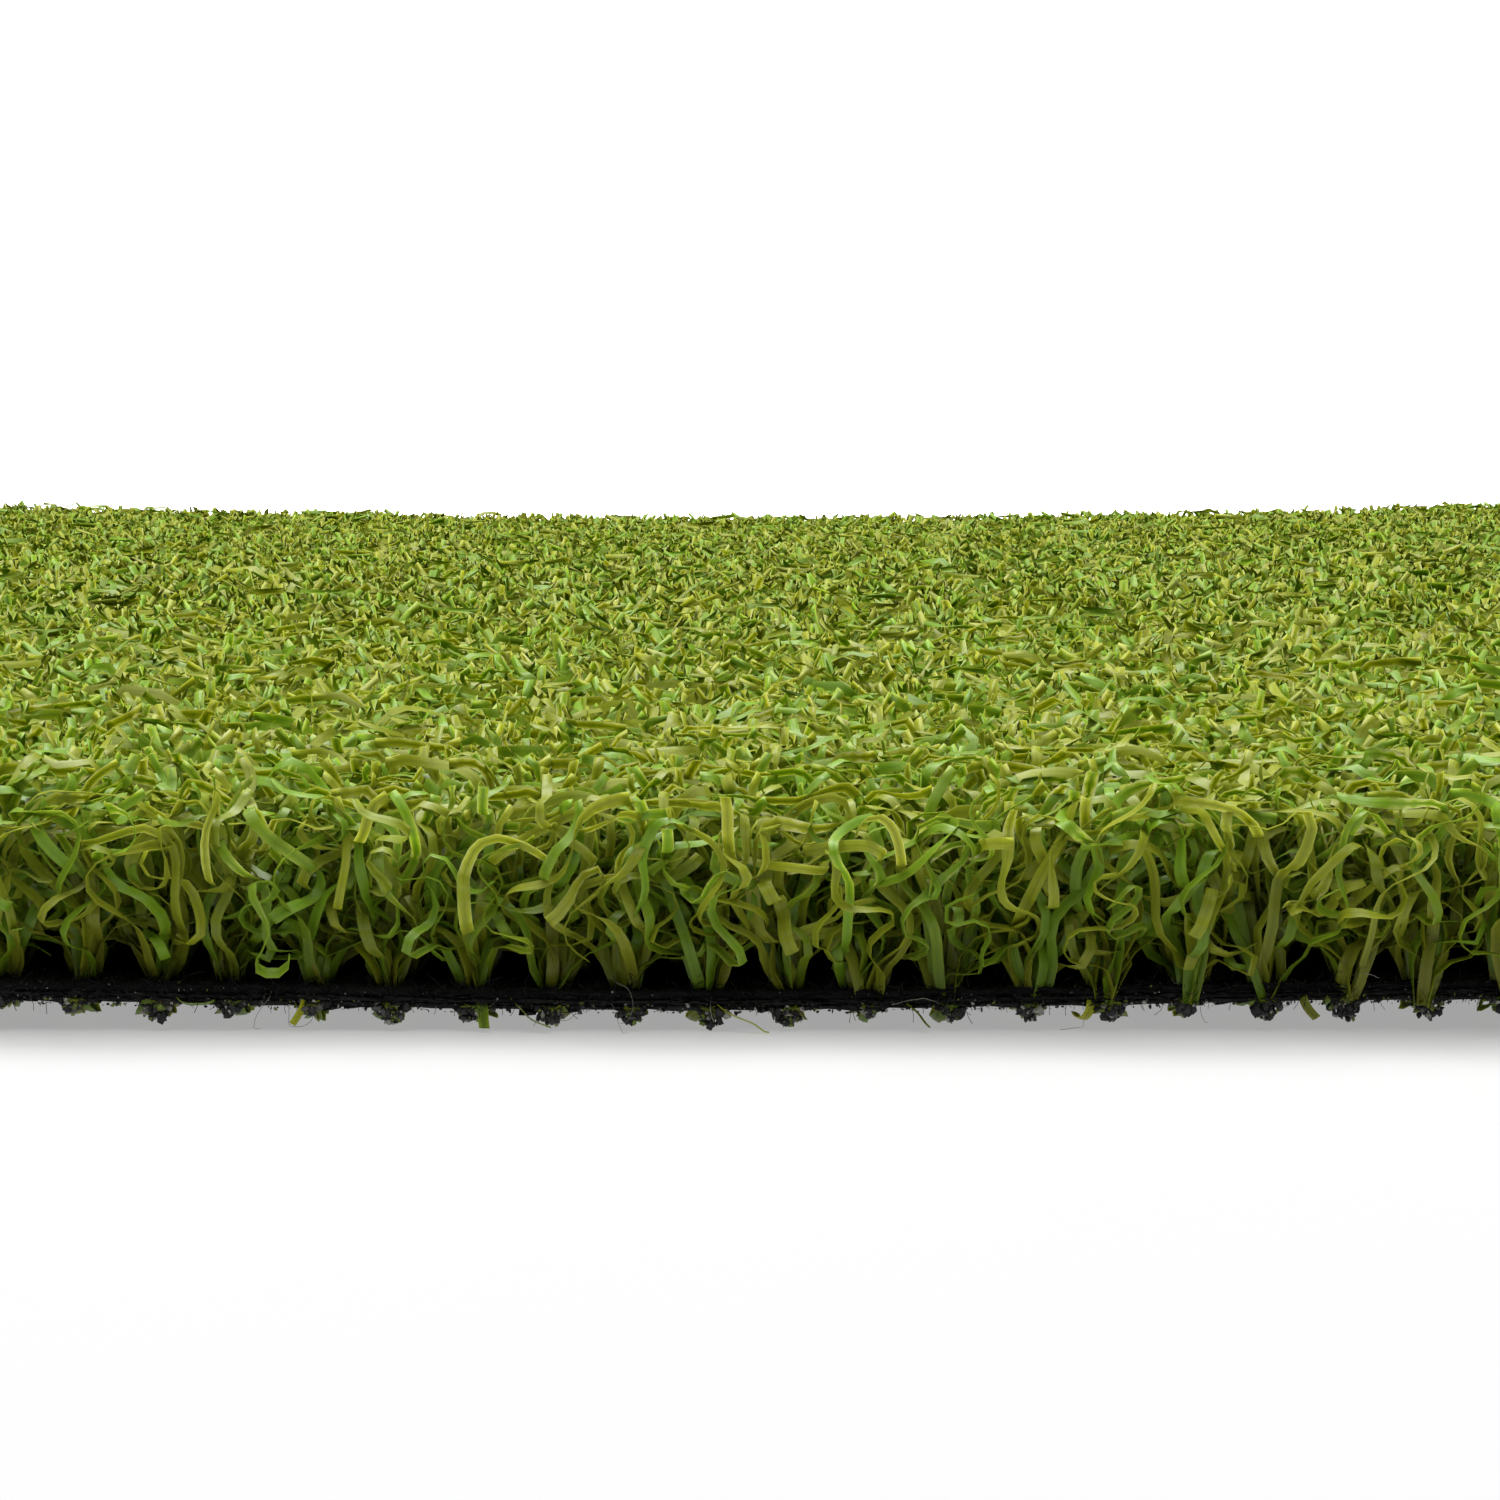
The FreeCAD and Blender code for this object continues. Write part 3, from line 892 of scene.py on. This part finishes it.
def latex_piece(material):
    """The latex skin: level above, and below it drapes over every back-stitch."""
    across = np.array(SKIN_ACROSS)
    x = (np.arange(ROW_COUNT)[:, None] + 0.5 + across) * GAUGE + MAT_LOW[0]
    x = np.append(x.ravel(), MAT_HIGH[0])
    y = np.linspace(MAT_LOW[1], MAT_HIGH[1], 3 * STITCHES // 2 + 1)
    gx, gy = np.meshgrid(x, y, indexing="ij")
    from_row = np.abs((gx - MAT_LOW[0]) / GAUGE % 1 - 0.5) * GAUGE
    swell = np.repeat(random.uniform(*RIDGE_SWELL, (ROW_COUNT, len(y))), len(across), axis=0)
    swell = np.concatenate([swell, swell[-1:]])
    ridge = np.sqrt(np.clip(1 - (from_row / RIDGE_HALF) ** 2, 0, 1)) * swell
    ridge[:, [0, 1, -2, -1]] *= RIDGE_ENDS
    rough = random.normal(0, SKIN_ROUGH, gx.shape) * (LEVEL_ROUGH + ridge)
    gz = np.maximum(LATEX_LOW - RIDGE_DEPTH * LATEX_LOW * ridge + rough, SKIN_LOWEST)
    rim = np.zeros(gx.shape, bool)
    rim[[0, -1]] = True
    rim[:, [0, -1]] = True
    inner = np.clip(gy, FRONT + SKIN_INSET, MAT_HIGH[1] - SKIN_INSET)
    gy = np.where(rim, gy + random.normal(0, RIM_STRAY[1], gx.shape), inner)
    gx = np.where(rim, gx + random.normal(0, RIM_STRAY[0], gx.shape), gx)
    under = np.stack([gx, gy, gz], axis=-1)
    nx, ny = gx.shape
    index = np.arange(nx * ny).reshape(nx, ny)
    quads = np.stack([index[:-1, :-1], index[:-1, 1:], index[1:, 1:], index[1:, :-1]], axis=-1).reshape(-1, 4)
    loop = np.concatenate([index[:-1, 0], index[-1, :-1], index[:0:-1, -1], index[0, :0:-1]])
    count = len(loop)
    lip = under.reshape(-1, 3)[loop]
    upper = lip.copy()
    upper[:, 2] = WOVEN_LOW
    inset = upper * np.array([1 - EDGE_INSET / MAT_HIGH[0], 1 - EDGE_INSET / MAT_HIGH[1], 1.0])
    first = nx * ny
    ring_a = first + np.arange(count)
    ring_b = ring_a + count
    centre = first + 2 * count
    walls = np.concatenate([
        np.stack([loop, np.roll(loop, -1), np.roll(ring_a, -1), ring_a], axis=-1),
        np.stack([ring_a, np.roll(ring_a, -1), np.roll(ring_b, -1), ring_b], axis=-1),
    ])
    cap = np.column_stack([ring_b, np.roll(ring_b, -1), np.full(count, centre)])
    points = np.concatenate([under.reshape(-1, 3), upper, inset, [[0.0, 0.0, WOVEN_LOW]]])
    mesh = Mesh()
    mesh.add(points, np.concatenate([quads, walls]), cap, plan_uv(points))
    skin = mesh.build("latex_coat_skin", material)
    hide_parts("latex_coat")


# each kind of crumb's share and colour: black, charcoal, grey, pale grey, and scraps of green yarn
CRUMBS = (
    (0.40, (0.007, 0.007, 0.008)),
    (0.22, (0.025, 0.024, 0.025)),
    (0.16, (0.09, 0.085, 0.085)),
    (0.10, (0.36, 0.35, 0.31)),
    (0.12, (0.13, 0.19, 0.02)),
)
# crumbs on each row's lump at the front edge, in view, and at the back edge, and how far a lump spreads
FRONT_LUMP_CRUMBS = 70
BACK_LUMP_CRUMBS = 16
LUMP_SIZE = (0.35, 1.0)
LUMP_HALF = 1.15
LUMP_SPREAD = 0.48
LUMP_STRAY = 0.12
LUMP_PROUD = 0.16
LUMP_DEPTH = 0.30
LUMP_FILL = (0.1, 0.92)
LUMP_CRUMB = (0.08, 0.30)
# crumbs elsewhere: their count, and the lowest and highest radius
RIM_CRUMBS = 1800
FRONT_CRUMBS = 900
EDGE_CRUMB = (0.04, 0.14)
CUT_SPECKS = 260
CUT_SPECK = (0.03, 0.09)
FLEECE_SPECKS = 260
FLEECE_SPECK = (0.04, 0.12)


def crumb_material():
    """Rough crumbs of several tones: the UV map's columns hold the tones."""
    material, tree, shader = new_material("latex_crumb")
    column, _ = bake_map(tree)
    stops = [(number / len(CRUMBS), colour) for number, (_, colour) in enumerate(CRUMBS)]
    tone = ramp(tree, column, stops, "CONSTANT")
    place = tree.nodes.new("ShaderNodeTexCoord").outputs["Object"]
    mottle = ramp(tree, noise(tree, place, 4000.0), [(0.35, 0.6), (0.65, 1.25)])
    tree.links.new(multiplied(tree, tone, mottle), shader.inputs["Base Color"])
    shader.inputs["Roughness"].default_value = 0.6
    return material


def add_crumbs(mesh, centres, sizes):
    """Torn crumbs: each an icosahedron pulled out of shape."""
    golden = (1 + 5**0.5) / 2
    base = unit(np.array([
        (-1, golden, 0), (1, golden, 0), (-1, -golden, 0), (1, -golden, 0), (0, -1, golden), (0, 1, golden),
        (0, -1, -golden), (0, 1, -golden), (golden, 0, -1), (golden, 0, 1), (-golden, 0, -1), (-golden, 0, 1),
    ]))
    faces = np.array([
        (0, 11, 5), (0, 5, 1), (0, 1, 7), (0, 7, 10), (0, 10, 11), (1, 5, 9), (5, 11, 4), (11, 10, 2),
        (10, 7, 6), (7, 1, 8), (3, 9, 4), (3, 4, 2), (3, 2, 6), (3, 6, 8), (3, 8, 9), (4, 9, 5), (2, 4, 11),
        (6, 2, 10), (8, 6, 7), (9, 8, 1),
    ])
    count = len(centres)
    pull = random.uniform(0.45, 1.3, (count, 12, 1)) * random.uniform(0.5, 1.4, (count, 1, 3))
    points = centres[:, None] + base * pull * sizes[:, None, None]
    points[..., 2] = np.maximum(points[..., 2], 0.0)
    kind = random.choice(len(CRUMBS), count, p=[share for share, _ in CRUMBS])
    uv = random.uniform(0.1, 0.9, (count, 12, 2))
    uv[..., 0] = (uv[..., 0] + kind[:, None]) / len(CRUMBS)
    index = (12 * np.arange(count))[:, None, None] + faces
    mesh.add(points.reshape(-1, 3), None, index.reshape(-1, 3), uv.reshape(-1, 2))


def crumb_piece(material):
    """Crumbs of latex round the cut back-stitches: thick in view, thin along the other edges."""
    mesh = Mesh()
    rows = (np.arange(ROW_COUNT) + 0.5) * GAUGE + MAT_LOW[0]
    seen = VIEW_HALF + SIDE_SPARE
    for sign, each, reach in ((-1, FRONT_LUMP_CRUMBS, seen), (1, BACK_LUMP_CRUMBS, MAT_WIDTH)):
        near = rows[np.abs(rows) < reach]
        lump = np.repeat(random.uniform(*LUMP_SIZE, len(near)), each)
        part = np.clip(random.normal(0, LUMP_SPREAD, len(lump)), -1, 1)
        x = np.repeat(near + random.normal(0, LUMP_STRAY, len(near)), each) + LUMP_HALF * part * lump
        y = sign * (MAT_HIGH[1] + LUMP_PROUD - np.abs(random.normal(0, LUMP_DEPTH, len(lump))))
        z = LATEX_LOW * (1 - lump * np.sqrt(1 - part * part) * random.uniform(*LUMP_FILL, len(lump)))
        add_crumbs(mesh, np.column_stack([x, y, z]), random.uniform(*LUMP_CRUMB, len(x)))
    rim, _ = along_edges(RIM_CRUMBS, (-0.12, 0.3))
    front, _ = in_view(FRONT_CRUMBS, (-0.2, 0.1))
    add_crumb_band(mesh, np.concatenate([rim, front]), (LATEX_LOW - 0.2, WOVEN_LOW + 0.1), EDGE_CRUMB)
    cut, _ = in_view(CUT_SPECKS, (-0.15, 0.05))
    add_crumb_band(mesh, cut, (WOVEN_LOW, PILE_FOOT), CUT_SPECK)
    fleece, _ = in_view(FLEECE_SPECKS, (0.2, 9.0))
    on_top = np.full(len(fleece), PILE_FOOT)
    add_crumbs(mesh, np.column_stack([fleece, on_top]), random.uniform(*FLEECE_SPECK, len(fleece)))
    mesh.build("latex_crumbs", material)


def add_crumb_band(mesh, place, heights, sizes):
    """Crumbs at places in the plan, at any height between two."""
    height = random.uniform(*heights, len(place))
    add_crumbs(mesh, np.column_stack([place, height]), random.uniform(*sizes, len(place)))


# === loose ends ============================================================================================
# cut ribbon ends that hang below the front edge
Stray = namedtuple("Stray", "x across down length colour")
# three strays take the last colour class, painted light that makes them glow as if lit through from below
STRAYS = (
    Stray(-34.2, 0.5, -0.6, 2.4, 2),
    Stray(-26.6, -0.2, -0.8, 1.6, LIT_CLASS),
    Stray(-16.0, 0.1, -0.9, 1.5, 5),
    Stray(-14.0, 0.9, -0.6, 2.6, 1),
    Stray(-1.9, 0.8, -0.6, 3.6, LIT_CLASS),
    Stray(20.4, -0.1, -1.0, 2.3, LIT_CLASS),
    Stray(9.4, 0.7, -0.5, 2.0, 3),
    Stray(33.0, 0.3, -0.9, 1.6, 10),
)
STRAY_OUT = -0.35
STRAY_RINGS = 12
STRAY_CURL = 0.5
# where a stray ribbon starts: out from the edge, and up from the latex
STRAY_ROOT = (0.1, 0.3)
HAIRS = 16
HAIR_THICK = 0.032
HAIR_LENGTH = (1.5, 5.0)
HAIR_LOWEST = 0.9
HAIR_RINGS = 20
HAIR_CURL = 1.2
HAIR_SETTLE = 0.05


def stray_pieces(ribbon_look, hair_look):
    """Cut ribbon ends that hang below the front edge, and a few hairs pulled out of the yarn and fleece."""
    mesh = Mesh()
    for stray in STRAYS:
        start = np.array([[stray.x, FRONT - STRAY_ROOT[0], LATEX_LOW + STRAY_ROOT[1]]])
        heading = np.array([[stray.across, STRAY_OUT, stray.down]])
        line, side, out = curly_lines(start, heading, stray.length, STRAY_RINGS, STRAY_CURL, 0.0)
        width, colour = np.array([RIBBON_WIDTH]), np.array([stray.colour])
        add_tapes(mesh, line, side, out, width, RIBBON_THICK, colour, "lens", stray.length)
    mesh.build("stray_ribbons", ribbon_look)
    hairs = Mesh()
    place, _ = in_view(HAIRS, (-0.3, 0.4))
    start = np.column_stack([place, random.uniform(HAIR_LOWEST, PILE_FOOT + 1.0, HAIRS)])
    across, down = random.normal(0, 1, HAIRS), random.normal(-0.5, 0.8, HAIRS)
    heading = np.column_stack([across, np.full(HAIRS, -0.7), down])
    long = random.uniform(*HAIR_LENGTH, HAIRS)
    line, side, out = curly_lines(start, heading, long, HAIR_RINGS, HAIR_CURL, HAIR_SETTLE)
    width = np.full(HAIRS, HAIR_THICK)
    add_tapes(hairs, line, side, out, width, HAIR_THICK, np.zeros(HAIRS, int), "roof", long)
    hairs.build("stray_hairs", hair_look)


# === camera, light and floor ===============================================================================
def make_camera():
    data = bpy.data.cameras.new("camera")
    data.sensor_width = SENSOR
    data.lens = CAMERA_LENS
    data.clip_start = 0.01
    camera = bpy.data.objects.new("camera", data)
    camera.location = (0.0, (FRONT - CAMERA_DISTANCE) * METRE, (PILE_TOP + CAMERA_ABOVE_PILE) * METRE)
    camera.rotation_euler = (math.pi / 2 - CAMERA_PITCH, 0.0, 0.0)
    bpy.context.scene.collection.objects.link(camera)
    bpy.context.scene.camera = camera


def make_lamp():
    data = bpy.data.lights.new("overhead", "AREA")
    data.shape = "DISK"
    data.size = LAMP_SIZE
    data.energy = LAMP_POWER
    light = bpy.data.objects.new("overhead", data)
    light.location = LAMP_PLACE
    direction = np.array(LAMP_AIM) - np.array(LAMP_PLACE)
    across = math.hypot(direction[0], direction[1])
    light.rotation_euler = (math.atan2(across, -direction[2]), 0.0, math.atan2(-direction[0], direction[1]))
    bpy.context.scene.collection.objects.link(light)


def light_studio(tree):
    """A white backdrop, and a dome that is bright overhead and dim at the horizon."""
    background = tree.nodes["Background"]
    direction = tree.nodes.new("ShaderNodeTexCoord").outputs["Generated"]
    split = tree.nodes.new("ShaderNodeSeparateXYZ")
    tree.links.new(direction, split.inputs[0])
    dome = ramp(tree, split.outputs[2], DOME_STOPS)
    seen = tree.nodes.new("ShaderNodeLightPath").outputs["Is Camera Ray"]
    colour = mix_colour(tree, "MIX", seen, dome, (1.0, 1.0, 1.0, 1.0))
    tree.links.new(colour, background.inputs["Color"])
    background.inputs["Strength"].default_value = DOME_STRENGTH


def make_floor():
    floor_mesh = bpy.data.meshes.new("floor")
    around = np.linspace(0, 2 * math.pi, FLOOR_SIDES, endpoint=False)
    corners = [(FLOOR_RADIUS * math.cos(a), FLOOR_RADIUS * math.sin(a), 0.0) for a in around]
    floor_mesh.from_pydata(corners, [], [tuple(range(FLOOR_SIDES))])
    floor = bpy.data.objects.new("floor", floor_mesh)
    bpy.context.scene.collection.objects.link(floor)
    material, _, shader = new_material("floor_white")
    shader.inputs["Base Color"].default_value = (FLOOR_GREY, FLOOR_GREY, FLOOR_GREY, 1.0)
    shader.inputs["Roughness"].default_value = 0.9
    shader.inputs["Emission Color"].default_value = (1.0, 1.0, 1.0, 1.0)
    shader.inputs["Emission Strength"].default_value = FLOOR_GLOW
    floor_mesh.materials.append(material)


def make_studio():
    scene = bpy.context.scene
    scene.view_settings.view_transform = "Standard"
    world = bpy.data.worlds.new("studio")
    world.use_nodes = True
    light_studio(world.node_tree)
    scene.world = world
    make_lamp()
    make_floor()


def make_pile(ribbon_look):
    library = Library()
    for node in ROW_NODES:
        row_piece(node, library, ribbon_look)


def make_backing():
    latex = dark_material("latex", (0.005, 0.005, 0.005), (0.030, 0.030, 0.028), 900.0, 0.75, 0.6)
    crumb = crumb_material()
    woven = dark_material("woven_tape", (0.004, 0.004, 0.004), (0.014, 0.014, 0.014), 700.0, 0.45, 0.3)
    fleece = dark_material("fleece", (0.002, 0.002, 0.002), (0.009, 0.009, 0.009), 1200.0, 0.9, 0.8)
    fibre = dark_material("fleece_fibre", (0.003, 0.003, 0.003), (0.016, 0.016, 0.016), 500.0, 0.6, 0.0)
    knife = KnifeLine()
    latex_piece(latex)
    woven_piece(woven, knife)
    fleece_piece(fleece, fibre, knife)
    crumb_piece(crumb)


make_camera()
make_studio()
ribbon = ribbon_material()
make_pile(ribbon)
make_backing()
hair = dark_material("hair", (0.02, 0.02, 0.02), (0.55, 0.53, 0.45), 130.0, 0.5, 0.0)
stray_pieces(ribbon, hair)
